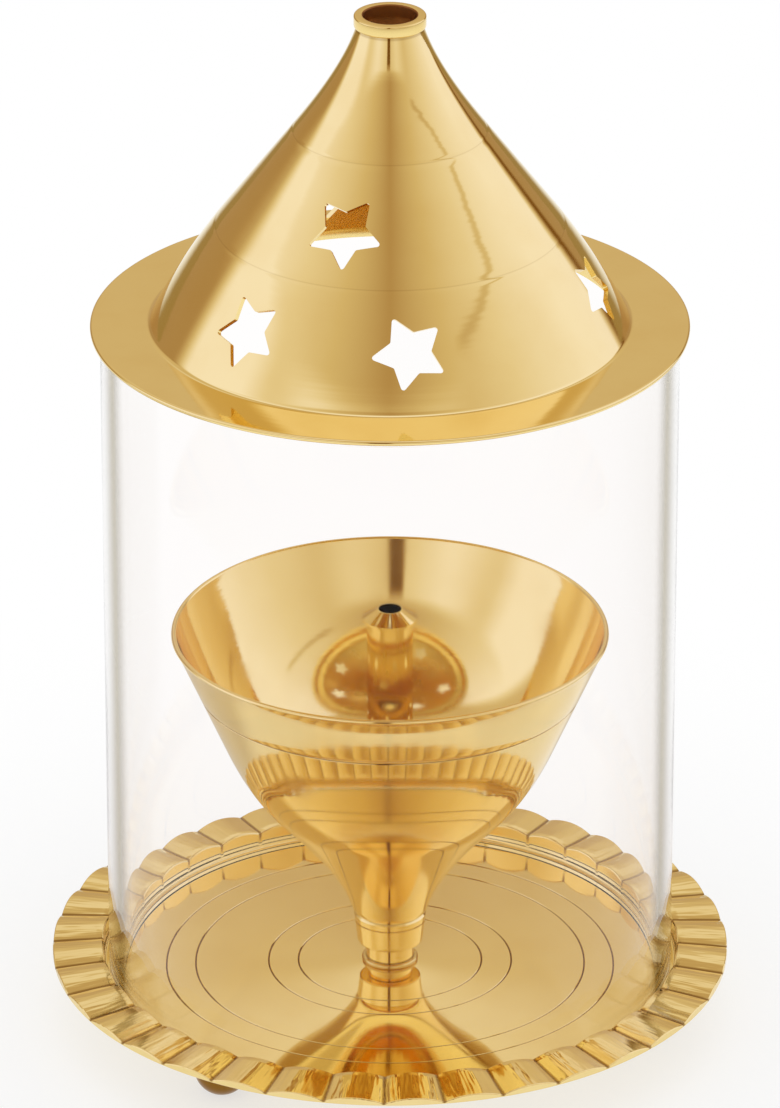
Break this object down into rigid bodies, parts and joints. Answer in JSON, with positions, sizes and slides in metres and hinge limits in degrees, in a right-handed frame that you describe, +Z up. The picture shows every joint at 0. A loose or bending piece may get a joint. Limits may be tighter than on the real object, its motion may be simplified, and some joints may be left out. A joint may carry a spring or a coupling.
{
  "type": "oil lamp",
  "caption": "Brass akhand diya: oil bowl and wick holder on a fluted footed tray, inside a clear glass chimney with a star-pierced conical lid.",
  "frame": {"origin": "on the table, under the centre of the lamp", "axes": "+Z up along the lamp's axis, -Y towards the front as pictured, +X to the right"},
  "size_m": [0.12, 0.12, 0.1891],
  "materials": {
    "polished_brass": "mirror-polished spun sheet",
    "turned_brass": "fine-turned, lightly polished",
    "foot_brass": "polished ball",
    "fixing_steel": "plain plated steel",
    "clear_glass": "clear tube with fire-polished ends"
  },
  "bodies": {
    "base": {"base_tray": "polished_brass", "foot_front_left": "foot_brass", "foot_right": "foot_brass", "foot_back": "foot_brass", "stem_washer": "fixing_steel", "stem_screw": "fixing_steel", "stem_spool": "turned_brass", "oil_bowl": "polished_brass"},
    "wick_holder": {"wick_tube": "turned_brass", "wick_nozzle": "turned_brass"},
    "glass": {"glass_chimney": "clear_glass"},
    "lid": {"lid_cone": "polished_brass", "lid_locating_ring": "turned_brass", "chimney_collar": "turned_brass"}
  },
  "joints": [
    {"name": "glass_lift", "type": "slide", "parent": "base", "child": "glass", "axis": [0, 0, 1], "range_m": [0, 0.08]},
    {"name": "lid_lift", "type": "slide", "parent": "glass", "child": "lid", "axis": [0, 0, 1], "range_m": [0, 0.06]},
    {"name": "wick_lift", "type": "slide", "parent": "base", "child": "wick_holder", "axis": [0, 0, 1], "range_m": [0, 0.055]}
  ]
}
